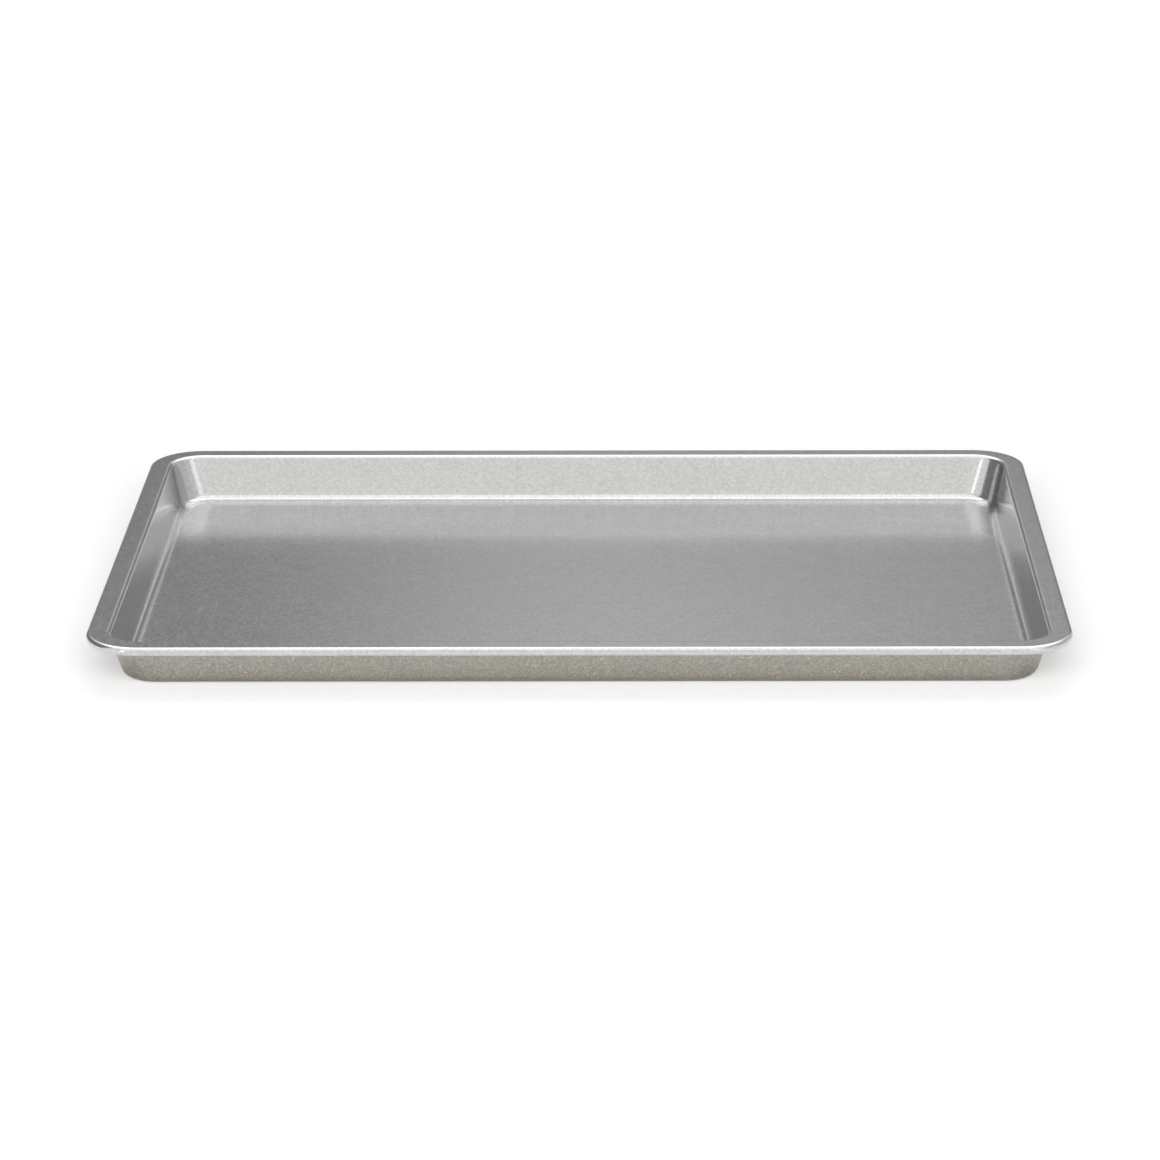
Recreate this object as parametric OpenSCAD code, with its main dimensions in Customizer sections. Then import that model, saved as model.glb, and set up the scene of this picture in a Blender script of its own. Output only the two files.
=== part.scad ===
// Jelly roll pan: one sheet of coated steel, drawn to a shallow tray with drafted walls,
// turned out into a flat flange and rolled round a steel wire along the whole rim.
// Origin: centre of the underside of the floor. X runs along the long side and Z is up.

/* [Tray] */
// Length of the opening, where the end walls would meet the top of the flange
opening_l = 381; // [300:1:460]
// Width of the opening, where the long walls would meet the top of the flange
opening_w = 254; // [180:1:340]
// Height from the underside of the floor to the top of the rim
pan_h = 20; // [15:0.5:32]
// Lean of the walls away from upright along the sides, in degrees
wall_draft = 13; // [4:0.5:20]

/* [Corners] */
// Corner radius of the opening, seen from above
opening_corner_r = 13.2; // [8:0.1:24]
// Corner radius where the walls would meet the floor, seen from above
floor_corner_r = 15; // [9:0.1:30]

/* [Sheet] */
// Thickness of the coated sheet
sheet_t = 0.6; // [0.4:0.05:0.9]
// Inside radius of the bend from the floor into the walls
floor_bend_r = 4; // [2:0.25:6]
// Inside radius of the bend from the walls out into the flange
lip_bend_r = 1.4; // [0.8:0.1:2.2]

/* [Rolled rim] */
// Reach of the rim from the edge of the opening to the outside of the roll
rim_reach = 9.85; // [8:0.05:16]
// How far the sheet is rolled round the wire, in degrees from the top of the roll
roll_wrap = 300; // [240:5:310]

/* [Wire] */
// Diameter of the wire inside the roll
wire_d = 2.4; // [1.6:0.1:3.2]
// Clearance between the wire and the sheet rolled round it
wire_clear = 0.05; // [0.03:0.01:0.1]
// Gap between the two butted ends of the wire, in the middle of the back
butt_gap = 1; // [0.5:0.1:3]

/* [Hidden] */
SHEET_COLOR = "#b4b4b0";
WIRE_COLOR = "#8d9095";
ARC_FN = 72;
CORNER_FN = 96;
CORNER_STEPS = 12;
FLOOR_BEND_STEPS = 8;
LIP_BEND_STEPS = 5;

// The one sheet is made as a floor plate, a lofted wall and a rim, which lap inside its flat parts.
// These are shares of the floor's flat corner and of the flange's flat.
WALL_START = 0.25;
PLATE_END = 0.5;
RIM_START = 0.5;
WALL_END = 0.75;

// Height of the wall above the floor's top, and its run outwards along the sides
rise = pan_h - sheet_t;
wall_run = rise * tan(wall_draft);

// Centre of the first corner at the opening, and the way it moves out from the floor, alike in X and Y
opening_centre = [opening_l / 2 - opening_corner_r, opening_w / 2 - opening_corner_r];
centre_shift = wall_run + floor_corner_r - opening_corner_r;
floor_centre = opening_centre - [centre_shift, centre_shift];

// Corner radius of the flat part of the floor, and of the inner edge of the flange's flat
floor_flat_r = floor_corner_r - floor_bend_r * tan((90 - wall_draft) / 2);
flange_flat_r = opening_corner_r + (lip_bend_r + sheet_t) * tan((90 - wall_draft) / 2);

// The roll and its centre, measured outwards from the corner's axis and up from the base
roll_bore_r = wire_d / 2 + wire_clear;
roll_r = roll_bore_r + sheet_t;
roll_centre = [opening_corner_r + rim_reach - roll_r, pan_h - roll_r];
flange_flat_l = roll_centre[0] - flange_flat_r;

// Run of the wall and turn of its bends at an angle round a corner: the wall leans most on the diagonal
function run_at(a) = centre_shift * (cos(a) + sin(a)) + opening_corner_r - floor_corner_r;
function turn_at(a) = 90 - atan(run_at(a) / rise);

// Points of an arc, from one angle to another
function arc(centre, r, from, to, steps) = [
    for (i = [0:steps]) let (a = from + (to - from) * i / steps) centre + r * [cos(a), sin(a)]
];

// One face of the sheet from the floor to the flange, at an angle round a corner:
// distance outwards from the floor's corner centre, and height
function skin(a, depth) = let (
    turn = turn_at(a),
    floor_bend = [floor_corner_r - floor_bend_r * tan(turn / 2), sheet_t + floor_bend_r],
    lip_bend = [
        floor_corner_r + run_at(a) + (lip_bend_r + sheet_t) * tan(turn / 2),
        pan_h - sheet_t - lip_bend_r
    ]
) concat(
    [[WALL_START * floor_flat_r, sheet_t - depth]],
    arc(floor_bend, floor_bend_r + depth, -90, turn - 90, FLOOR_BEND_STEPS),
    arc(lip_bend, lip_bend_r + sheet_t - depth, turn + 90, 90, LIP_BEND_STEPS),
    [[lip_bend[0] + WALL_END * flange_flat_l, pan_h - depth]]
);

function reversed(list) = [for (i = [len(list) - 1:-1:0]) list[i]];

// The whole section at an angle round a corner: the upper face outwards, the underside back
function section_at(a) = concat(skin(a, 0), reversed(skin(a, sheet_t)));

// A point of the section set at its angle in one of the four corners. The corner's centre
// moves out as the wall rises: outwards it is in the section, and sideways it is added here.
function set_in_corner(point, a, corner) = let (
    sign = [corner == 0 || corner == 3 ? 1 : -1, corner < 2 ? 1 : -1],
    outwards = [cos(90 * corner + a), sin(90 * corner + a)],
    sideways = [-outwards[1], outwards[0]],
    risen = min(max((point[1] - sheet_t) / rise, 0), 1),
    plan = [sign[0] * floor_centre[0], sign[1] * floor_centre[1]]
        + point[0] * outwards
        + risen * centre_shift * (cos(a) - sin(a)) * sideways
) [plan[0], plan[1], point[1]];

// Both bends and the wall, lofted from section to section round the four corners
module drawn_wall() {
    sections = [
        for (corner = [0:3], i = [0:CORNER_STEPS])
            let (a = 90 * i / CORNER_STEPS) [for (p = section_at(a)) set_in_corner(p, a, corner)]
    ];
    around = len(sections);
    along = len(sections[0]);
    function index(i, j) = (i % around) * along + j % along;
    polyhedron(
        points = [for (section = sections, p = section) p],
        faces = [
            for (i = [0:around - 1], j = [0:along - 1]) each [
                [index(i, j), index(i + 1, j + 1), index(i, j + 1)],
                [index(i, j), index(i + 1, j), index(i + 1, j + 1)]
            ]
        ],
        convexity = 6
    );
}

// Flat middle of the floor
module floor_plate() {
    half = floor_centre + PLATE_END * [floor_flat_r, floor_flat_r];
    translate([-half[0], -half[1], 0]) cube([2 * half[0], 2 * half[1], sheet_t]);
}

// Flange and roll, seen along the rim: a ring open from the end of the roll round to its top
module rim_section() {
    open_angle = 360 - roll_wrap;
    flange_l = (1 - RIM_START) * flange_flat_l;
    translate(roll_centre) {
        difference() {
            circle(r = roll_r, $fn = ARC_FN);
            circle(r = roll_bore_r, $fn = ARC_FN);
            polygon(concat([[0, 0]], arc([0, 0], 2 * roll_r, 90, 90 + open_angle, 2)));
        }
        translate([-flange_l, roll_bore_r]) square([flange_l, sheet_t]);
    }
}

// A section carried round the rim: along each straight side and through the corner at its end
module carry_round() {
    for (side = [0:3]) {
        away = opening_centre[side % 2];
        along = opening_centre[(side + 1) % 2];
        rotate(90 * side) translate([away, along, 0]) {
            rotate_extrude(angle = 90, $fn = CORNER_FN) children();
            rotate([90, 0, 0]) linear_extrude(height = 2 * along) children();
        }
    }
}

// Floor, walls, flange and roll, all one sheet
module pan_body() {
    color(SHEET_COLOR) union() {
        floor_plate();
        drawn_wall();
        carry_round() rim_section();
    }
}

// Wire bent to the shape of the rim, its ends butted in the middle of the back
module rim_wire() {
    color(WIRE_COLOR) difference() {
        carry_round() translate(roll_centre) circle(d = wire_d, $fn = ARC_FN);
        translate([-butt_gap / 2, opening_centre[1], 0])
            cube([butt_gap, roll_centre[0] + roll_r, pan_h]);
    }
}

pan_body();
rim_wire();
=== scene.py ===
"""Jelly roll pan: the dressed pan in its studio.

The pan is one coated sheet, drawn to a shallow tray and rolled round a wire along its whole rim.
Lengths are in metres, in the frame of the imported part: the base's centre is the origin, X runs
along the long side, Y goes to the back and Z is up.
"""
import logging
import math
from dataclasses import dataclass, field
from enum import Enum
from typing import ClassVar, NamedTuple

import bmesh
import bpy
from mathutils import Matrix, Vector


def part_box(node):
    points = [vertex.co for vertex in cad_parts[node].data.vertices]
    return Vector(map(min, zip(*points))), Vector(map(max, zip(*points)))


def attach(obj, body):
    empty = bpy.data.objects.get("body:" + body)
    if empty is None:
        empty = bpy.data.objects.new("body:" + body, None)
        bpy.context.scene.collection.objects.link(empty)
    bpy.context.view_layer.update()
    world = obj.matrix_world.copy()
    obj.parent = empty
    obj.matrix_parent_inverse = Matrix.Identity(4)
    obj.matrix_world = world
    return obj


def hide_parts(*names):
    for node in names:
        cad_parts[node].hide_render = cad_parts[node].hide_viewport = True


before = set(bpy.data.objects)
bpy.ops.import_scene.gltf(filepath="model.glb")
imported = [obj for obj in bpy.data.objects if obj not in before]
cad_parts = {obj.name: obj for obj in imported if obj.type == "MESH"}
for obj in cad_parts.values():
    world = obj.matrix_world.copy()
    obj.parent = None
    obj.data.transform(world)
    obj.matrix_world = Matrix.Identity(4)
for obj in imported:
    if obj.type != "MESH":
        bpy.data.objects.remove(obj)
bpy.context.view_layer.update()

MM = 0.001
SHARP_OVER = math.radians(40)

Colour = tuple[float, float, float]
Triple = tuple[float, float, float]

log = logging.getLogger("jelly_roll_pan")


class Node(str, Enum):
    """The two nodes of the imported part."""

    PAN = "pan_body"
    WIRE = "rim_wire"


class Slot(str, Enum):
    """The material slots that the record names."""

    SHEET = "coated_sheet"
    WIRE = "bare_wire"


class Course(str, Enum):
    """The ways in which a mapped value runs from its start to its end."""

    EVEN = "LINEAR"
    SOFT = "SMOOTHSTEP"


# Node trees, and arithmetic inside a Geometry Nodes tree


class Value:
    """A number that a tree works out at every point, written as plain arithmetic."""

    def __init__(self, rule: "Rule", socket: bpy.types.NodeSocket) -> None:
        """Keeps the tree and the socket that the number comes from."""
        self.rule = rule
        self.socket = socket

    def __add__(self, other: "Number") -> "Value":
        """Sum."""
        return self.rule.work_out("ADD", self, other)

    def __sub__(self, other: "Number") -> "Value":
        """Difference."""
        return self.rule.work_out("SUBTRACT", self, other)

    def __rsub__(self, other: float) -> "Value":
        """Difference from a plain number."""
        return self.rule.work_out("SUBTRACT", other, self)

    def __mul__(self, other: "Number") -> "Value":
        """Product."""
        return self.rule.work_out("MULTIPLY", self, other)

    def __truediv__(self, other: "Number") -> "Value":
        """Quotient."""
        return self.rule.work_out("DIVIDE", self, other)

    __rmul__ = __mul__

    def __neg__(self) -> "Value":
        """The number with the other sign."""
        return 0.0 - self

    def clamped(self) -> "Value":
        """The number kept between 0 and 1."""
        return self.rule.work_out("MAXIMUM", self.rule.work_out("MINIMUM", self, 1.0), 0.0)


Number = Value | float


class Tree:
    """A node tree in the making."""

    def __init__(self, tree: bpy.types.NodeTree) -> None:
        """Keeps the tree that the nodes go into."""
        self.tree = tree

    def node(self, kind: str, sockets: dict[str, object] | None = None,
             **options: object) -> bpy.types.Node:
        """Adds a node.

        Args:
            kind: The node's type.
            sockets: What goes into its named inputs: sockets, numbers or plain settings.
            options: Settings of the node itself.

        Returns:
            The new node.
        """
        made = self.tree.nodes.new(kind)
        for option, setting in options.items():
            setattr(made, option, setting)
        for name, source in (sockets or {}).items():
            self.feed(made.inputs[name], source)
        return made

    def feed(self, socket: bpy.types.NodeSocket, source: object) -> None:
        """Gives an input what it works on.

        Args:
            socket: The input.
            source: A socket or a number to link to it, or a plain setting.
        """
        if isinstance(source, Value):
            source = source.socket
        if isinstance(source, bpy.types.NodeSocket):
            self.tree.links.new(source, socket)
        else:
            socket.default_value = source

    def join(self, kind: str, operation: str, *terms: object) -> bpy.types.Node:
        """Adds a node that works out one thing from several.

        Args:
            kind: The node's type, Math or Vector Math.
            operation: The node's operation.
            terms: What it works on, in the order of its inputs.

        Returns:
            The new node.
        """
        made = self.node(kind, operation=operation)
        for socket, term in zip(made.inputs, terms):
            self.feed(socket, term)
        return made


class Rule(Tree):
    """A Geometry Nodes tree in the making, with its sizes as named inputs."""

    def __init__(self, name: str) -> None:
        """Makes an empty tree.

        Args:
            name: The tree's name.
        """
        super().__init__(bpy.data.node_groups.new(name, "GeometryNodeTree"))
        self.name = name
        self.tree.interface.new_socket(
            "Geometry", in_out="OUTPUT", socket_type="NodeSocketGeometry"
        )
        self.given = self.node("NodeGroupInput")
        self.settings: dict[str, float | int | bpy.types.Material] = {}

    def ask(self, name: str, value: float | int | bpy.types.Material) -> bpy.types.NodeSocket:
        """Adds a named input.

        Args:
            name: The input's name.
            value: What the input is set to on the modifier.

        Returns:
            The socket that gives the input inside the tree.
        """
        kinds = {int: "NodeSocketInt", float: "NodeSocketFloat"}
        kind = kinds.get(type(value), "NodeSocketMaterial")
        asked = self.tree.interface.new_socket(name, in_out="INPUT", socket_type=kind)
        self.settings[asked.identifier] = value
        return next(s for s in self.given.outputs if s.identifier == asked.identifier)

    def size(self, name: str, value: float | int) -> Value:
        """Adds a named size and returns it as a number."""
        return Value(self, self.ask(name, value))

    def work_out(self, operation: str, *terms: Number) -> Value:
        """Works out a number with a Math node."""
        return Value(self, self.join("ShaderNodeMath", operation, *terms).outputs[0])

    def vector(self, x: Number, y: Number, z: Number) -> bpy.types.NodeSocket:
        """Joins three numbers to a vector."""
        return self.node("ShaderNodeCombineXYZ", {"X": x, "Y": y, "Z": z}).outputs[0]

    def grow(self, name: str, geometry: bpy.types.NodeSocket, finish: bpy.types.Material,
             wall: float = 0.0, lining: bpy.types.Material | None = None) -> bpy.types.Object:
        """Ends the tree, runs it once and keeps the result as a plain mesh.

        Args:
            name: The new piece's name.
            geometry: What the tree has made.
            finish: The piece's material.
            wall: Thickness added under the faces, or 0 for none.
            lining: Material of the faces that the wall adds below.

        Returns:
            The piece, with no modifier left on it.
        """
        real = self.node("GeometryNodeRealizeInstances", {"Geometry": geometry})
        dressed = self.node(
            "GeometryNodeSetMaterial",
            {"Geometry": real.outputs[0], "Material": self.ask("Finish", finish)},
        )
        self.feed(self.node("NodeGroupOutput").inputs[0], dressed.outputs[0])

        piece = bpy.data.objects.new(name, bpy.data.meshes.new(name))
        bpy.context.scene.collection.objects.link(piece)
        # The wall's faces get a slot of their own only where the object already has as many slots.
        for coat in (None, finish, lining or finish):
            piece.data.materials.append(coat)
        modifier = piece.modifiers.new(self.name, "NODES")
        modifier.node_group = self.tree
        for identifier, setting in self.settings.items():
            modifier[identifier] = setting
        if wall:
            shell = piece.modifiers.new("wall", "SOLIDIFY")
            shell.thickness = wall
            shell.offset = -1.0
            shell.use_even_offset = True
            shell.use_quality_normals = True
            shell.material_offset = 1
        depsgraph = bpy.context.evaluated_depsgraph_get()
        mesh = bpy.data.meshes.new_from_object(piece.evaluated_get(depsgraph), depsgraph=depsgraph)
        piece.modifiers.clear()
        piece.data = mesh
        mesh.name = name
        # The lining goes one slot past the finish, where the wall's faces are. That makes the first
        # slot one too many: it is empty, or holds the finish a second time.
        mesh.materials.append(lining or finish)
        mesh.materials.pop(index=0)
        return piece


# Materials


class Shading(Tree):
    """A material's node tree in the making.

    Nearly all of a noise lies inside its span.
    """

    NOISE_SPAN: ClassVar[tuple[float, float]] = (0.3, 0.7)

    def __init__(self, name: str) -> None:
        """Makes an empty material.

        Args:
            name: The material's name.
        """
        self.material = bpy.data.materials.new(name)
        self.material.use_nodes = True
        super().__init__(self.material.node_tree)
        self.tree.nodes.clear()

    def place(self) -> bpy.types.NodeSocket:
        """The point's place on the object, in metres."""
        return self.node("ShaderNodeTexCoord").outputs["Object"]

    def noise(self, place: bpy.types.NodeSocket, grain: float,
              detail: float = 2.0) -> bpy.types.NodeSocket:
        """Soft noise whose features are about as wide as the grain, in metres."""
        sockets = {"Vector": place, "Scale": 1 / grain, "Detail": detail}
        return self.node("ShaderNodeTexNoise", sockets).outputs["Fac"]

    def spread(self, source: bpy.types.NodeSocket, low: float, high: float, start: float = 0.0,
               end: float = 1.0, course: Course = Course.EVEN) -> bpy.types.NodeSocket:
        """Maps a number from one range onto another, and keeps it in there.

        Args:
            source: The number.
            low: What it becomes at the start.
            high: What it becomes at the end.
            start: Where the number's own range starts.
            end: Where that range ends.
            course: How it runs in between.

        Returns:
            The mapped number.
        """
        sockets = {"Value": source, "From Min": start, "From Max": end, "To Min": low, "To Max": high}
        return self.node("ShaderNodeMapRange", sockets, interpolation_type=course).outputs[0]

    def number(self, operation: str, *terms: bpy.types.NodeSocket) -> bpy.types.NodeSocket:
        """One number worked out from others."""
        return self.join("ShaderNodeMath", operation, *terms).outputs[0]

    def vector(self, operation: str, *terms: object) -> bpy.types.NodeSocket:
        """One vector or colour worked out from others."""
        return self.join("ShaderNodeVectorMath", operation, *terms).outputs["Vector"]

    def scaled(self, colour: Colour | Vector, level: bpy.types.NodeSocket) -> bpy.types.NodeSocket:
        """A colour made lighter or darker by a number."""
        sockets = {"Vector": colour, "Scale": level}
        return self.node("ShaderNodeVectorMath", sockets, operation="SCALE").outputs["Vector"]

    def finish(self, shader: bpy.types.Node) -> bpy.types.Material:
        """Puts the shader on the surface and returns the material."""
        self.node("ShaderNodeOutputMaterial", {"Surface": shader.outputs[0]})
        return self.material


@dataclass(frozen=True)
class FlakeCoating:
    """Non-stick film, full of fine metal flakes that lie nearly flat.

    Each flake has its own lightness and roughness, and a share of them glints in another colour.
    The contrasts are the ranges by which the shade is made darker and lighter. Flake, cloud and
    peel are widths.
    """

    name: str
    shade: Colour
    roughness: tuple[float, float]
    flake_contrast: tuple[float, float]
    glint: Colour = (0.6, 0.6, 0.6)
    glint_share: float = 0.1
    flake: float = 0.85 * MM
    cloud: float = 14 * MM
    cloud_contrast: tuple[float, float] = (0.98, 1.02)
    peel: float = 0.8 * MM
    peel_height: float = 0.0032 * MM

    def material(self) -> bpy.types.Material:
        """Builds the material.

        Returns:
            The film, with flakes, clouds and a faint orange-peel surface.
        """
        film = Shading(self.name)
        place = film.place()
        flakes = film.node("ShaderNodeTexVoronoi", {"Vector": place, "Scale": 1 / self.flake})
        pick = film.node("ShaderNodeSeparateColor", {"Color": flakes.outputs["Color"]})
        flake_light = film.spread(pick.outputs["Red"], *self.flake_contrast)
        clouds = film.noise(place, self.cloud)
        cloud_light = film.spread(clouds, *self.cloud_contrast, *film.NOISE_SPAN)
        tone = film.scaled(self.shade, film.number("MULTIPLY", flake_light, cloud_light))
        glinting = film.spread(pick.outputs["Blue"], 0.0, 1.0, 1 - self.glint_share, 1.0)
        glint = film.scaled(Vector(self.glint) - Vector(self.shade), glinting)
        peel = film.node("ShaderNodeBump", {
            "Height": film.noise(place, self.peel, detail=1.0), "Distance": self.peel_height,
        })
        return film.finish(film.node("ShaderNodeBsdfPrincipled", {
            "Base Color": film.vector("ADD", tone, glint),
            "Metallic": 1.0,
            "Roughness": film.spread(pick.outputs["Green"], *self.roughness),
            "Normal": peel.outputs[0],
        }))


LIGHT_LINING = FlakeCoating(
    "light_satin_lining", shade=(0.6, 0.598, 0.605), roughness=(0.12, 0.22),
    flake_contrast=(0.925, 1.075),
)
TAUPE_OUTSIDE = FlakeCoating(
    "taupe_outside", shade=(0.395, 0.378, 0.342), roughness=(0.28, 0.42),
    flake_contrast=(0.8, 1.16), glint=(0.62, 0.53, 0.4), flake=0.55 * MM, peel_height=0.004 * MM,
)


@dataclass(frozen=True)
class DrawnWire:
    """Bright steel wire, with the fine lines that the drawing die leaves along it.

    Line is how wide these lines are, and slimness is their width for their length.
    """

    shade: Colour = (0.48, 0.49, 0.5)
    roughness: tuple[float, float] = (0.28, 0.45)
    line: float = 0.12 * MM
    line_detail: float = 4.0
    line_contrast: tuple[float, float] = (0.85, 1.12)
    line_height: float = 0.003 * MM
    slimness: float = 0.01

    def material(self) -> bpy.types.Material:
        """Builds the material.

        Returns:
            The wire's steel, with lines that follow it round the rim.
        """
        steel = Shading("drawn_steel")
        along = steel.node("ShaderNodeAttribute", attribute_name=RimWire.ALONG)
        around = steel.node("ShaderNodeAttribute", attribute_name=RimWire.AROUND)
        lay = steel.node("ShaderNodeCombineXYZ", {
            "X": along.outputs["Fac"], "Y": around.outputs["Fac"],
        })
        drawn = steel.vector("MULTIPLY", lay.outputs[0], (self.slimness, 1.0, 1.0))
        lines = steel.noise(drawn, self.line, self.line_detail)
        bump = steel.node("ShaderNodeBump", {"Height": lines, "Distance": self.line_height})
        return steel.finish(steel.node("ShaderNodeBsdfPrincipled", {
            "Base Color": steel.scaled(self.shade, steel.spread(lines, *self.line_contrast)),
            "Metallic": 1.0,
            "Roughness": steel.spread(lines, *self.roughness),
            "Normal": bump.outputs[0],
        }))


# The pan


class Point(NamedTuple):
    """A point of the sheet's section, with its share of the wall's rise.

    Outwards is measured from the corner's centre at the floor.
    """

    out: Value
    up: Value
    risen: Number


@dataclass
class PanBody:
    """The drawn sheet: floor, both bends, walls, flange and roll, all one piece.

    The bend radii are those of the inside. Steps are counts of faces: round a corner, along a side,
    and outwards over each stretch of the section. Points closer than the seam become one.
    """

    rim_reach: float = 9.85 * MM
    opening_corner_r: float = 13.2 * MM
    floor_corner_r: float = 15 * MM
    wall_draft: float = math.radians(13)
    sheet: float = 0.6 * MM
    floor_bend_r: float = 4 * MM
    lip_bend_r: float = 1.4 * MM
    roll_r: float = 1.85 * MM
    roll_wrap: float = math.radians(300)
    corner_steps: int = 32
    side_steps: int = 18
    floor_steps: int = 16
    floor_bend_steps: int = 12
    wall_steps: int = 8
    lip_bend_steps: int = 10
    flange_steps: int = 6
    roll_steps: int = 36
    seam: float = 0.002 * MM
    inside: FlakeCoating = LIGHT_LINING
    outside: FlakeCoating = TAUPE_OUTSIDE

    def make(self) -> bpy.types.Object:
        """Builds and dresses the pan.

        Returns:
            The pan, in place of its node.
        """
        low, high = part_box(Node.PAN)
        rule = Rule("drawn_sheet")
        skin = SheetSkin(rule, self, (high - low) / 2, high.z)
        pan = rule.grow(
            "coated_pan", skin.whole(), self.inside.material(), self.sheet, self.outside.material()
        )
        pan.data.set_sharp_from_angle(angle=SHARP_OVER)
        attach(pan, "root")
        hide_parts(Node.PAN)
        return pan


class SheetSkin:
    """The upper face of the drawn sheet, as strips that lie round the tray one outside the other.

    Each strip is a grid of columns, which go round the tray, and rows, which go outwards. A quarter
    of the columns belongs to each corner and to the side after it. The corner's axis leans: it
    moves out alike in X and Y as the wall rises, so the walls lean most on the diagonal.
    """

    def __init__(self, rule: Rule, pan: PanBody, half: Vector, height: float) -> None:
        """Works out what all the strips share.

        Args:
            rule: The tree to build in.
            pan: The sheet's sizes.
            half: Half of the pan's length and width.
            height: The pan's height.
        """
        self.rule = rule
        self.pan = pan
        self.sheet = rule.size("Sheet thickness", pan.sheet)
        self.height = rule.size("Height", height)
        self.bend_r = rule.size("Floor bend radius", pan.floor_bend_r)
        self.lip_r = rule.size("Lip bend outer radius", pan.lip_bend_r + pan.sheet)
        self.roll_r = rule.size("Roll radius", pan.roll_r)
        self.roll_wrap = rule.size("Roll wrap", pan.roll_wrap)
        self.corner_steps = rule.size("Corner steps", pan.corner_steps)
        self.side_steps = rule.size("Side steps", pan.side_steps)
        self.floor_r = rule.size("Floor corner radius", pan.floor_corner_r)
        opening_r = rule.size("Opening corner radius", pan.opening_corner_r)
        reach = rule.size("Rim reach", pan.rim_reach)
        draft = rule.size("Wall draft", pan.wall_draft)
        half_length = rule.size("Half length", half.x)
        half_width = rule.size("Half width", half.y)

        self.rise = self.height - self.sheet
        self.shift = self.rise * rule.work_out("TANGENT", draft) + self.floor_r - opening_r

        # Where a point of a strip's grid is: its row, its column, and its way round the tray
        place = rule.node("GeometryNodeInputPosition")
        parts = rule.node("ShaderNodeSeparateXYZ", {"Vector": place.outputs[0]})
        self.outwards = Value(rule, parts.outputs["Y"]) + 0.5
        steps = self.corner_steps + self.side_steps
        column = rule.work_out("ROUND", (Value(rule, parts.outputs["X"]) + 0.5) * steps * 4.0)
        self.quarter = rule.work_out("FLOOR", column / steps)
        step = column - self.quarter * steps
        angle = (step / self.corner_steps).clamped() * (math.pi / 2)
        way = ((step - self.corner_steps) / self.side_steps).clamped()
        self.side = 0.5 - rule.work_out("COSINE", way * math.pi) * 0.5
        self.cos = rule.work_out("COSINE", angle)
        self.sin = rule.work_out("SINE", angle)

        # Centre of this corner at the floor. Every second corner has X and Y the other way round.
        odd = rule.work_out("MODULO", self.quarter, 2.0)
        margin = reach + opening_r + self.shift
        across = half_length - half_width
        self.centre_x = half_length - margin - odd * across
        self.centre_y = half_width - margin + odd * across

        # Centres of the arcs of the section at this angle round the corner
        corner_out = self.shift * (self.cos + self.sin)
        run = corner_out + opening_r - self.floor_r
        turn = math.pi / 2 - rule.work_out("ARCTANGENT", run / self.rise)
        half_turn = rule.work_out("TANGENT", turn * 0.5)
        self.turn = turn
        self.bend = self.point(self.floor_r - self.bend_r * half_turn, self.sheet + self.bend_r)
        self.lip = self.point(
            self.floor_r + run + self.lip_r * half_turn, self.height - self.lip_r
        )
        self.roll = Point(
            corner_out + opening_r + reach - self.roll_r, self.height - self.roll_r, 1.0
        )

    def point(self, out: Value, up: Value) -> Point:
        """A point of the tray, with its share of the wall's rise."""
        return Point(out, up, ((up - self.sheet) / self.rise).clamped())

    def on_arc(self, centre: Point, radius: Value, turned: Value) -> Point:
        """Finds a point of an arc of the section.

        Args:
            centre: The arc's centre.
            radius: Its radius.
            turned: The point's angle, from outwards and turning upwards.

        Returns:
            The point.
        """
        out = centre.out + radius * self.rule.work_out("COSINE", turned)
        up = centre.up + radius * self.rule.work_out("SINE", turned)
        return self.point(out, up)

    def between(self, start: Point, end: Point, share: Value) -> Point:
        """Finds a point on the straight way between two points.

        Args:
            start: Where the way starts.
            end: Where it ends.
            share: How far along it the point lies, from 0 to 1.

        Returns:
            The point.
        """
        out = start.out + (end.out - start.out) * share
        up = start.up + (end.up - start.up) * share
        return self.point(out, up)

    def gathered(self) -> Value:
        """The share of the way outwards, with the rows gathered at both ends."""
        return 0.5 - self.rule.work_out("COSINE", self.outwards * math.pi) * 0.5

    def set_round(self, point: Point, scale: Number = 1.0) -> bpy.types.NodeSocket:
        """Sets a point of the section in its place round the tray.

        Args:
            point: The point, outwards and up.
            scale: Share of the way from the middle of the tray.

        Returns:
            The place, as a vector.
        """
        sideways = point.risen * self.shift * (self.cos - self.sin + self.side * 2.0)
        x = self.centre_x * (1.0 - self.side * 2.0) + point.out * self.cos - sideways * self.sin
        y = self.centre_y + point.out * self.sin + sideways * self.cos
        turned = self.rule.node(
            "ShaderNodeVectorRotate",
            {
                "Vector": self.rule.vector(x * scale, y * scale, point.up),
                "Angle": self.quarter * (math.pi / 2),
            },
            rotation_type="Z_AXIS",
        )
        return turned.outputs[0]

    def strip(self, name: str, steps: int, place: bpy.types.NodeSocket) -> bpy.types.NodeSocket:
        """Lays one strip round the tray.

        Args:
            name: What the strip is, for its named count of rows.
            steps: How many rows of faces it has.
            place: Where each point goes.

        Returns:
            The strip's mesh.
        """
        columns = (self.corner_steps + self.side_steps) * 4.0 + 1.0
        grid = self.rule.node("GeometryNodeMeshGrid", {
            "Size X": 1.0,
            "Size Y": 1.0,
            "Vertices X": columns,
            "Vertices Y": self.rule.size(f"{name} steps", steps) + 1.0,
        })
        placed = self.rule.node(
            "GeometryNodeSetPosition", {"Geometry": grid.outputs[0], "Position": place}
        )
        return placed.outputs[0]

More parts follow.
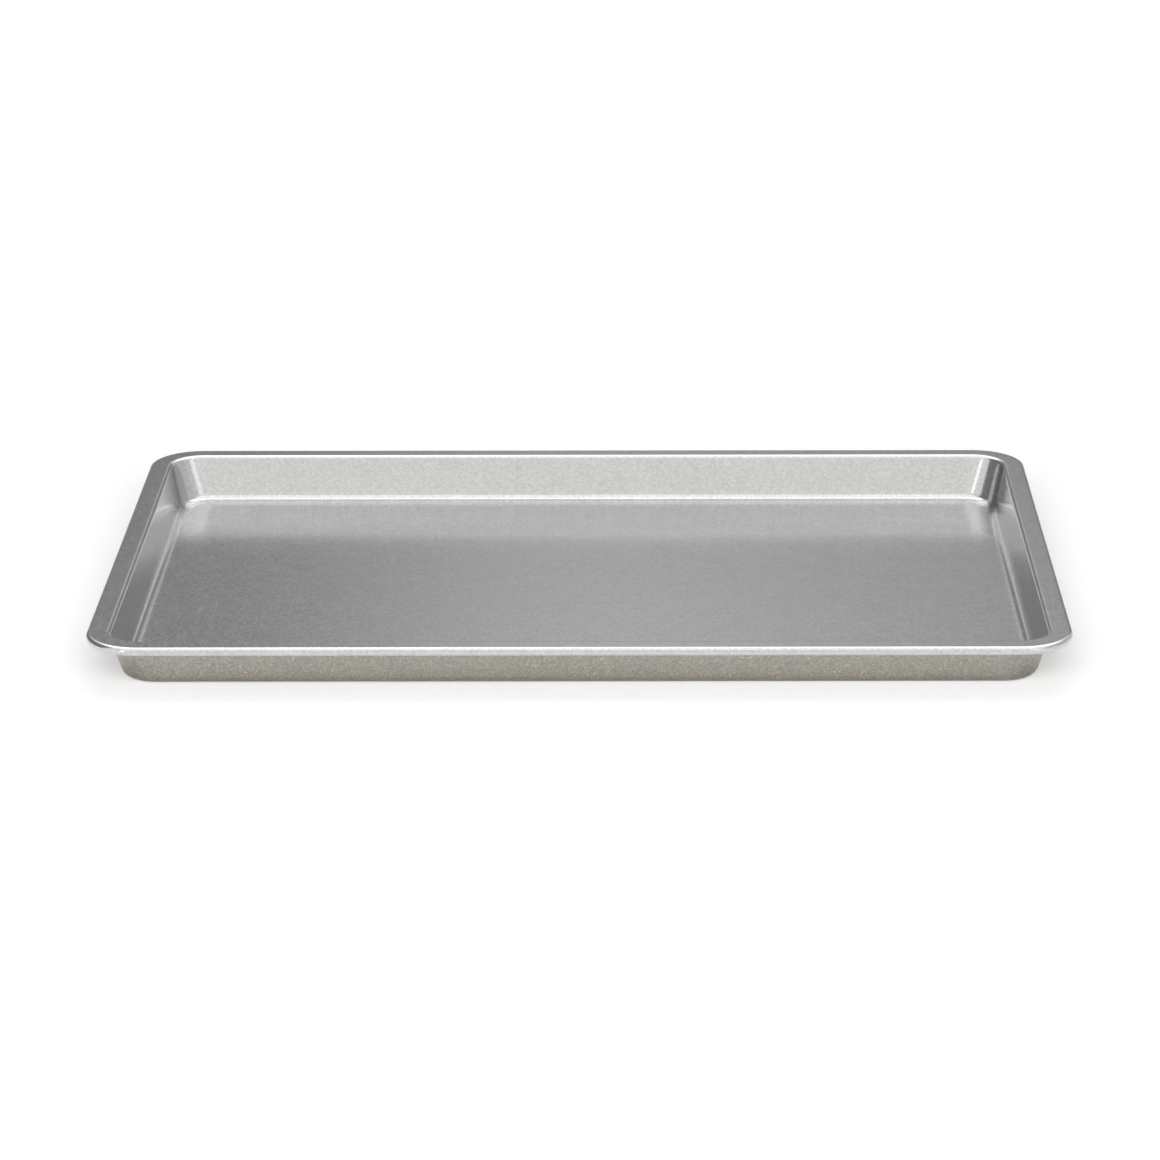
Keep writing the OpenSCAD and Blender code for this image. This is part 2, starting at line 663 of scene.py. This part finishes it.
    def whole(self) -> bpy.types.NodeSocket:
        """Lays all the strips and joins them.

        Returns:
            The sheet's upper face as one mesh, from the middle of the floor to the inner end of
            the roll.
        """
        rule, pan = self.rule, self.pan
        quarter_turn = math.pi / 2
        floor_edge = self.point(self.bend.out, self.sheet)
        floor_scale = rule.work_out("SINE", self.outwards * quarter_turn)
        bend_turned = self.outwards * self.turn - quarter_turn
        bend_end = self.on_arc(self.bend, self.bend_r, self.turn - quarter_turn)
        lip_start = self.on_arc(self.lip, self.lip_r, self.turn + quarter_turn)
        lip_turned = self.turn + quarter_turn - self.outwards * self.turn
        flange_start = Point(self.lip.out, self.height, 1.0)
        flange_end = Point(self.roll.out, self.height, 1.0)
        roll_turned = quarter_turn - self.outwards * self.roll_wrap
        floor_bend = self.on_arc(self.bend, self.bend_r, bend_turned)
        wall = self.between(bend_end, lip_start, self.gathered())
        lip_bend = self.on_arc(self.lip, self.lip_r, lip_turned)
        flange = self.between(flange_start, flange_end, self.gathered())._replace(risen=1.0)
        roll = self.on_arc(self.roll, self.roll_r, roll_turned)._replace(risen=1.0)
        strips = [
            self.strip("Floor", pan.floor_steps, self.set_round(floor_edge, floor_scale)),
            self.strip("Floor bend", pan.floor_bend_steps, self.set_round(floor_bend)),
            self.strip("Wall", pan.wall_steps, self.set_round(wall)),
            self.strip("Lip bend", pan.lip_bend_steps, self.set_round(lip_bend)),
            self.strip("Flange", pan.flange_steps, self.set_round(flange)),
            self.strip("Roll", pan.roll_steps, self.set_round(roll)),
        ]
        joined = rule.node("GeometryNodeJoinGeometry")
        for strip in strips:
            rule.feed(joined.inputs[0], strip)
        closed = rule.node(
            "GeometryNodeMergeByDistance", {"Geometry": joined.outputs[0], "Distance": pan.seam}
        )
        upwards = rule.node("GeometryNodeFlipFaces", {"Mesh": closed.outputs[0]})
        return upwards.outputs[0]


@dataclass
class RimWire:
    """The steel wire inside the roll, its two ends butted in the middle of the back.

    Its corners have the radius of the roll's axis. Steps are counts of faces.
    """

    ALONG: ClassVar[str] = "along_wire"
    AROUND: ClassVar[str] = "around_wire"

    corner_r: float = PanBody.opening_corner_r + PanBody.rim_reach - PanBody.roll_r
    butt_gap: float = 1 * MM
    corner_steps: int = 32
    round_steps: int = 24
    finish: DrawnWire = field(default_factory=DrawnWire)

    def make(self) -> bpy.types.Object:
        """Builds and dresses the wire.

        Returns:
            The wire, in place of its node.
        """
        low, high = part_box(Node.WIRE)
        wire_r = (high.z - low.z) / 2
        rule = Rule("rolled_in_wire")
        bent = self.bent(rule, high - Vector((wire_r, wire_r, wire_r)))
        profile = rule.node("GeometryNodeCurvePrimitiveCircle", {
            "Resolution": rule.size("Round steps", self.round_steps),
            "Radius": rule.size("Wire radius", wire_r),
        })
        tube = rule.node("GeometryNodeCurveToMesh", {
            "Curve": self.measured(rule, bent, self.ALONG),
            "Profile Curve": self.measured(rule, profile.outputs[0], self.AROUND),
            "Fill Caps": True,
        })
        smooth = rule.node("GeometryNodeSetShadeSmooth", {"Geometry": tube.outputs[0]})
        wire = rule.grow("steel_rim_wire", smooth.outputs[0], self.finish.material())
        wire.data.set_sharp_from_angle(angle=SHARP_OVER)
        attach(wire, "root")
        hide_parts(Node.WIRE)
        return wire

    def bent(self, rule: Rule, corner: Vector) -> bpy.types.NodeSocket:
        """Bends a line round the rim.

        Args:
            rule: The tree to build in.
            corner: Where the axis would turn at the back right corner, if it weren't rounded.

        Returns:
            The wire's axis, from one end at the butt to the other.
        """
        gap = rule.size("Butt gap", self.butt_gap) * 0.5
        length = rule.size("Half length", corner.x)
        width = rule.size("Half width", corner.y)
        level = rule.size("Height of the axis", corner.z)
        bends = [(gap, width), (length, width), (length, -width),
                 (-length, -width), (-length, width), (-gap, width)]

        line = rule.node("GeometryNodeCurvePrimitiveLine")
        marks = rule.node("GeometryNodeResampleCurve", {"Curve": line.outputs[0], "Count": len(bends)})
        choose = rule.node("GeometryNodeIndexSwitch", data_type="VECTOR")
        while len(choose.index_switch_items) < len(bends):
            choose.index_switch_items.new()
        rule.feed(choose.inputs["Index"], rule.node("GeometryNodeInputIndex").outputs[0])
        for socket, (x, y) in zip(choose.inputs[1:], bends):
            rule.feed(socket, rule.vector(x, y, level))
        path = rule.node(
            "GeometryNodeSetPosition", {"Geometry": marks.outputs[0], "Position": choose.outputs[0]}
        )
        rounded = rule.node("GeometryNodeFilletCurve", {
            "Curve": path.outputs[0],
            "Count": rule.size("Corner steps", self.corner_steps),
            "Radius": rule.size("Corner radius", self.corner_r),
        }, mode="POLY")
        return rounded.outputs[0]

    def measured(self, rule: Rule, curve: bpy.types.NodeSocket, name: str) -> bpy.types.NodeSocket:
        """Keeps the length along a curve at each of its points.

        Args:
            rule: The tree to build in.
            curve: The curve.
            name: The attribute that keeps the length.

        Returns:
            The curve with the attribute.
        """
        kept = rule.node("GeometryNodeStoreNamedAttribute", {
            "Geometry": curve,
            "Name": name,
            "Value": rule.node("GeometryNodeSplineParameter").outputs["Length"],
        }, data_type="FLOAT", domain="POINT")
        return kept.outputs[0]


# The studio


@dataclass(frozen=True)
class Floor:
    """A white table top that keeps the pan's shadow.

    It glows for the camera and in the pan's gloss, so that it is white there. The near glow leaves
    the shadow visible, and in the gloss it starts past the pan's foot. The far glow comes on top.
    The table lies a drop under the pan's base, so that the two don't touch. It has an opening inside
    the pan's foot, as far in from the rim as the inset, and is clear from below. So the pan's
    underside can be seen from there.
    """

    radius: float = 4.0
    edge_steps: int = 96
    drop: float = 0.1 * MM
    inset: float = 18 * MM
    opening_r: float = 11.5 * MM
    corner_steps: int = 12
    shade: Colour = (0.8, 0.8, 0.8)
    near_glow: float = 0.35
    far_glow: float = 0.4
    foot_fade: tuple[float, float] = (3 * MM, 14 * MM)
    far_fade: tuple[float, float] = (0.1, 0.7)

    def make(self) -> bpy.types.Object:
        """Builds the table top.

        Returns:
            The table top.
        """
        foot_x, foot_y, _ = self.foot()
        edge = bmesh.new()
        bmesh.ops.create_circle(edge, radius=self.radius, segments=self.edge_steps)
        inner = [edge.verts.new(point) for point in self.opening(foot_x, foot_y)]
        rings = list(edge.edges)
        rings += [edge.edges.new((inner[i - 1], inner[i])) for i in range(len(inner))]
        bmesh.ops.triangle_fill(edge, use_beauty=True, edges=rings, normal=(0, 0, 1))
        bmesh.ops.translate(edge, verts=edge.verts, vec=(0, 0, -self.drop))
        mesh = bpy.data.meshes.new("table_top")
        edge.to_mesh(mesh)
        edge.free()
        table = bpy.data.objects.new("table_top", mesh)
        bpy.context.scene.collection.objects.link(table)
        mesh.materials.append(self.material())
        return table

    def foot(self) -> Triple:
        """The corner of the pan's flat underside, raised to the rim's height."""
        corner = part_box(Node.PAN)[1]
        return corner.x - self.inset, corner.y - self.inset, corner.z

    def opening(self, reach_x: float, reach_y: float) -> list[Triple]:
        """Works out the opening under the pan, a rounded rectangle.

        Args:
            reach_x: Half of its length.
            reach_y: Half of its width.

        Returns:
            The points of its edge, in order.
        """
        turns = [
            (quarter, math.pi / 2 * (quarter + step / self.corner_steps))
            for quarter in range(4) for step in range(self.corner_steps + 1)
        ]
        return [
            ((reach_x - self.opening_r) * (1, -1, -1, 1)[quarter] + self.opening_r * math.cos(turn),
             (reach_y - self.opening_r) * (1, 1, -1, -1)[quarter] + self.opening_r * math.sin(turn), 0)
            for quarter, turn in turns
        ]

    def glow(self, top: Shading) -> bpy.types.NodeSocket:
        """Works out the glow at each point of the table.

        Args:
            top: The table's material.

        Returns:
            The strength of the glow.
        """
        path = top.node("ShaderNodeLightPath")
        camera, gloss = path.outputs["Is Camera Ray"], path.outputs["Is Glossy Ray"]
        past_foot = top.vector("SUBTRACT", top.vector("ABSOLUTE", top.place()), self.foot())
        outside = top.vector("MAXIMUM", past_foot, (0, 0, 0))
        gap = top.join("ShaderNodeVectorMath", "LENGTH", outside).outputs["Value"]
        from_foot = top.spread(gap, 0.0, self.near_glow, *self.foot_fade)
        near = top.number(
            "MAXIMUM", top.number("MULTIPLY", from_foot, gloss), top.spread(camera, 0.0, self.near_glow)
        )
        far = top.spread(gap, 0.0, self.far_glow, *self.far_fade, Course.SOFT)
        either = top.number("MAXIMUM", camera, gloss)
        return top.number("ADD", near, top.number("MULTIPLY", far, either))

    def material(self) -> bpy.types.Material:
        """Builds the material.

        Returns:
            Matt white with the glow, clear from below.
        """
        top = Shading("white_table")
        matt = top.node("ShaderNodeBsdfDiffuse", {"Color": (*self.shade, 1.0)})
        glow = top.node("ShaderNodeEmission", {"Strength": self.glow(top)})
        clear = top.node("ShaderNodeBsdfTransparent")
        facing = top.node("ShaderNodeNewGeometry")
        lit = top.node("ShaderNodeAddShader")
        sided = top.node("ShaderNodeMixShader", {"Fac": facing.outputs["Backfacing"]})
        for socket, shader in ((lit.inputs[0], matt), (lit.inputs[1], glow),
                               (sided.inputs[1], lit), (sided.inputs[2], clear)):
            top.feed(socket, shader.outputs[0])
        return top.finish(sided)


@dataclass(frozen=True)
class Softbox:
    """A soft rectangular lamp that is turned to the pan's middle and that gloss doesn't show.

    Its level is that of a glowing card that would be as bright.
    """

    WATTS_PER_LEVEL: ClassVar[float] = math.pi

    name: str
    centre: Triple
    size: tuple[float, float]
    level: float

    def hang(self) -> bpy.types.Object:
        """Makes the lamp and turns it to the pan.

        Returns:
            The lamp.
        """
        lamp = bpy.data.lights.new(self.name, "AREA")
        lamp.shape = "RECTANGLE"
        lamp.size, lamp.size_y = self.size
        lamp.energy = self.level * self.WATTS_PER_LEVEL * lamp.size * lamp.size_y
        hung = bpy.data.objects.new(self.name, lamp)
        bpy.context.scene.collection.objects.link(hung)
        hung.location = self.centre
        hung.rotation_euler = (-hung.location).to_track_quat("-Z", "Y").to_euler()
        hung.visible_camera = False
        hung.visible_glossy = False
        return hung


def card(name: str, corners: list[Triple], material: bpy.types.Material) -> bpy.types.Object:
    """Sets up a flat card that only the pan's gloss shows.

    Args:
        name: The card's name.
        corners: Its corners, in order.
        material: What it is covered with.

    Returns:
        The card.
    """
    mesh = bpy.data.meshes.new(name)
    mesh.from_pydata(corners, [], [(0, 1, 2, 3)])
    mesh.materials.append(material)
    made = bpy.data.objects.new(name, mesh)
    bpy.context.scene.collection.objects.link(made)
    for ray in ("camera", "diffuse", "shadow", "transmission", "volume_scatter"):
        setattr(made, f"visible_{ray}", False)
    return made


@dataclass(frozen=True)
class Backdrop:
    """A dark backdrop behind the pan, lit in a patch that fades to the sides and downwards."""

    away: float = 3.0
    left: float = -2.4
    right: float = 2.4
    bottom: float = 0.06
    top: float = 1.5
    left_fade: tuple[float, float] = (-0.6, 0.05)
    right_fade: tuple[float, float] = (-0.25, 1.1)
    low_fade: tuple[float, float] = (0.78, 1.0)
    light: float = 0.63
    dark: float = 0.27
    tint: Colour = (0.995, 0.99, 1.01)

    def make(self) -> bpy.types.Object:
        """Builds the backdrop.

        Returns:
            The backdrop, as a card.
        """
        corners = [
            (self.left, self.away, self.bottom), (self.right, self.away, self.bottom),
            (self.right, self.away, self.top), (self.left, self.away, self.top),
        ]
        return card("backdrop", corners, self.material())

    def material(self) -> bpy.types.Material:
        """Builds the material.

        Returns:
            Dark paper with the patch of light on it.
        """
        paper = Shading("lit_backdrop")
        place = paper.node("ShaderNodeSeparateXYZ", {"Vector": paper.place()})
        from_left = paper.spread(place.outputs["X"], 0.0, 1.0, *self.left_fade, Course.SOFT)
        to_right = paper.spread(place.outputs["X"], 1.0, 0.0, *self.right_fade, Course.SOFT)
        upwards = paper.spread(place.outputs["Z"], 0.0, 1.0, *self.low_fade, Course.SOFT)
        patch = paper.number("MULTIPLY", paper.number("MULTIPLY", from_left, to_right), upwards)
        glow = paper.node("ShaderNodeEmission", {
            "Color": (*self.tint, 1.0),
            "Strength": paper.spread(patch, self.dark, self.light),
        })
        return paper.finish(glow)


@dataclass(frozen=True)
class PlainCard:
    """A card of one brightness, which only the pan's gloss shows."""

    name: str
    centre: Triple
    half_width: Triple
    half_height: Triple
    level: float
    tint: Colour = (1.0, 1.0, 1.0)

    def make(self) -> bpy.types.Object:
        """Builds the card.

        Returns:
            The card.
        """
        cover = Shading(self.name)
        glow = cover.node("ShaderNodeEmission", {"Color": (*self.tint, 1.0), "Strength": self.level})
        middle, aside, upwards = Vector(self.centre), Vector(self.half_width), Vector(self.half_height)
        corners = [
            tuple(middle + i * aside + k * upwards) for i, k in ((-1, -1), (1, -1), (1, 1), (-1, 1))
        ]
        return card(self.name, corners, cover.finish(glow))


@dataclass(frozen=True)
class Studio:
    """The white table, the backdrop, cards and lamps, and the pale room round them.

    The cards are what the gloss shows, and the lamps light what is matt. A card has its centre, the
    ways from there to its side and to its top, and its level. The room is white to the camera and
    in the gloss, and dimmer as a light.
    """

    room: float = 0.35
    seen_room: float = 1.0
    floor: Floor = Floor()
    backdrop: Backdrop = Backdrop()
    cards: tuple[PlainCard, ...] = (
        PlainCard("overhead_card", (0.1, -0.5, 1.6), (1.2, 0, 0), (0, 0.85, 0), 1.45),
        PlainCard("back_overhead_card", (0.1, 1.1, 1.6), (1.2, 0, 0), (0, 0.75, 0), 2.4),
        PlainCard("front_card", (0, -3.2, 1.5), (2.0, 0, 0), (0, 0, 1.45), 1.05, (1.0, 1.0, 0.96)),
        PlainCard("front_flag", (0, -3.1, 0.1), (2.6, 0, 0), (0, 0, 0.1), 0.3),
        PlainCard("front_left_card", (-1.6, -1.4, 0.7), (0.3, -0.9, 0), (0, 0, 0.65), 1.0),
        PlainCard("front_right_card", (1.6, -1.4, 0.7), (0.3, 0.9, 0), (0, 0, 0.65), 0.8),
        PlainCard("left_strip", (-1.2, -1.55, 0.6), (0.11, -0.08, 0), (0, 0, 0.5), 2.2),
        PlainCard("right_strip", (1.22, -1.38, 0.6), (0.2, 0.24, 0), (0, 0, 0.55), 1.4),
        PlainCard("left_flag", (-1.6, 1.3, 0.92), (0, 1.7, 0), (0, 0, 0.87), 0.24),
        PlainCard("right_flag", (1.6, 1.3, 0.92), (0, 1.7, 0), (0, 0, 0.87), 0.7),
    )
    lamps: tuple[Softbox, ...] = (
        Softbox("key_softbox", (0, 0.5, 1.45), (1.6, 0.6), 1.5),
        Softbox("front_fill", (0, -2.0, 1.25), (3.0, 1.2), 4.4),
    )

    def make(self) -> None:
        """Builds the studio."""
        self.floor.make()
        self.backdrop.make()
        for plain in self.cards:
            plain.make()
        for lamp in self.lamps:
            lamp.hang()
        self.surround()

    def surround(self) -> None:
        """Makes the pale room the scene's world."""
        world = bpy.data.worlds.new("pale_room")
        bpy.context.scene.world = world
        world.use_nodes = True
        air = Tree(world.node_tree)
        rays = air.node("ShaderNodeLightPath").outputs
        seen = air.join("ShaderNodeMath", "MAXIMUM", rays["Is Camera Ray"], rays["Is Glossy Ray"])
        level = air.node("ShaderNodeMapRange", {
            "Value": seen.outputs[0], "To Min": self.room, "To Max": self.seen_room,
        })
        background = world.node_tree.nodes["Background"]
        air.feed(background.inputs["Color"], (1, 1, 1, 1))
        air.feed(background.inputs["Strength"], level.outputs[0])


@dataclass(frozen=True)
class PhotoCamera:
    """The photograph's viewpoint, as a pinhole fitted to the outline of the pan.

    The picture is a cut from a wider one: the lens's axis meets it right of its middle.
    """

    down: float = math.radians(18.7404)
    heading: float = 0.004
    distance: float = 1.78013
    to_the_right: float = 0.033994
    raised: float = 0.002387
    focal_px: float = 4106.1
    axis_px: float = 662.45
    picture_px: float = 1160
    sensor: float = 36.0
    clip: tuple[float, float] = (0.05, 50)

    def make(self) -> bpy.types.Object:
        """Builds the camera and makes it the scene's.

        Returns:
            The camera.
        """
        ahead = Vector((
            math.sin(self.heading) * math.cos(self.down),
            math.cos(self.heading) * math.cos(self.down),
            -math.sin(self.down),
        ))
        right = Vector((math.cos(self.heading), -math.sin(self.heading), 0))
        upwards = right.cross(ahead)
        optics = bpy.data.cameras.new("photo_camera")
        optics.sensor_width = self.sensor
        optics.lens = self.focal_px / self.picture_px * self.sensor
        optics.shift_x = (self.picture_px / 2 - self.axis_px) / self.picture_px
        optics.clip_start, optics.clip_end = self.clip
        camera = bpy.data.objects.new("photo_camera", optics)
        bpy.context.scene.collection.objects.link(camera)
        turned = Matrix((right, upwards, -ahead)).transposed().to_4x4()
        place = right * self.to_the_right + upwards * self.raised - ahead * self.distance
        camera.matrix_world = Matrix.Translation(place) @ turned
        bpy.context.scene.camera = camera
        return camera


def main() -> None:
    """Builds the pan, the studio and the camera."""
    logging.basicConfig(level=logging.INFO, format="%(name)s: %(message)s")
    for part in (PanBody(), RimWire()):
        piece = part.make()
        log.info("%s: %d faces", piece.name, len(piece.data.polygons))
    Studio().make()
    PhotoCamera().make()
    bpy.context.scene.view_settings.view_transform = "Standard"


if __name__ == "__main__":
    main()
